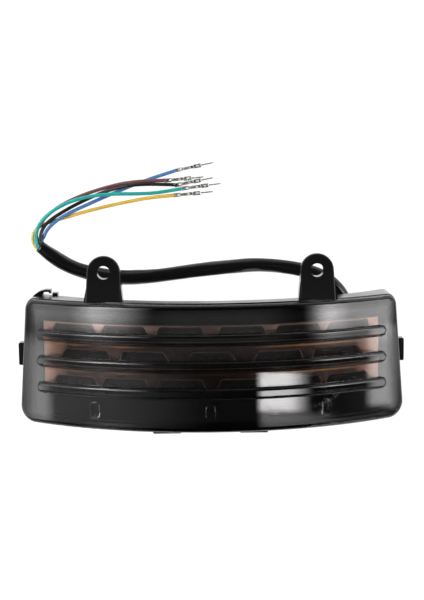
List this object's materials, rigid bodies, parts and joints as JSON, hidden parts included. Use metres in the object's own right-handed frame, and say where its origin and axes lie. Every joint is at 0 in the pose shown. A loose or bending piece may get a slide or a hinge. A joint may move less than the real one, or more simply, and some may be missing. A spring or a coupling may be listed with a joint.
{
  "type": "motorcycle tail light",
  "caption": "Curved smoked LED motorcycle tail light with raised lens bars, mounting ears and a wired lead with crimped pins.",
  "frame": {"origin": "on the table under the middle of the lamp's outline, the lamp lying on its back", "axes": "+X along the lamp's width, to the right as seen by someone looking at the lens; +Y up the lamp, towards the mounting ears; +Z the way the light shines"},
  "size_m": [0.2162, 0.1448, 0.06],
  "materials": {
    "housing_black": "gloss moulded black",
    "lens_smoke": "smoke-tinted clear acrylic",
    "seal_rubber": "matte",
    "bezel_salmon": "satin pink-red",
    "reflector_dark": "dark metallised",
    "board_black": "black solder mask",
    "led_red": "moulded",
    "led_amber": "moulded",
    "screw_steel": "zinc-plated",
    "jumper_grey": "satin insulation",
    "board_green": "green solder mask",
    "chip_black": "matte moulded",
    "capacitor_tan": "satin",
    "grommet_rubber": "satin",
    "sleeve_vinyl": "glossy vinyl",
    "wire_yellow": "satin insulation",
    "wire_green": "satin insulation",
    "wire_maroon": "satin insulation",
    "wire_black": "satin insulation",
    "wire_blue": "satin insulation",
    "terminal_tin": "tin-plated brass"
  },
  "bodies": {
    "root": {"rear_housing": "housing_black", "lens": "lens_smoke", "lens_seal": "seal_rubber", "bezel_upper": "bezel_salmon", "bezel_middle": "bezel_salmon", "bezel_lower": "bezel_salmon", "reflector_upper": "reflector_dark", "reflector_middle": "reflector_dark", "reflector_lower": "reflector_dark", "led_board_upper": "board_black", "led_board_middle": "board_black", "led_board_lower": "board_black", "leds_tail_and_brake": "led_red", "leds_turn_left": "led_amber", "leds_turn_right": "led_amber", "board_screws": "screw_steel", "board_jumpers": "jumper_grey", "driver_board": "board_green", "regulators": "chip_black", "diodes": "chip_black", "resistors": "chip_black", "capacitors": "capacitor_tan", "cable_grommet": "grommet_rubber", "inner_lead_bundle": "sleeve_vinyl", "lead_tails": "jumper_grey", "harness_sleeve": "sleeve_vinyl", "wire_yellow": "wire_yellow", "terminal_yellow": "terminal_tin", "wire_green": "wire_green", "terminal_green": "terminal_tin", "wire_maroon": "wire_maroon", "terminal_maroon": "terminal_tin", "wire_black": "wire_black", "terminal_black": "terminal_tin", "wire_blue": "wire_blue", "terminal_blue": "terminal_tin"}
  },
  "joints": []
}
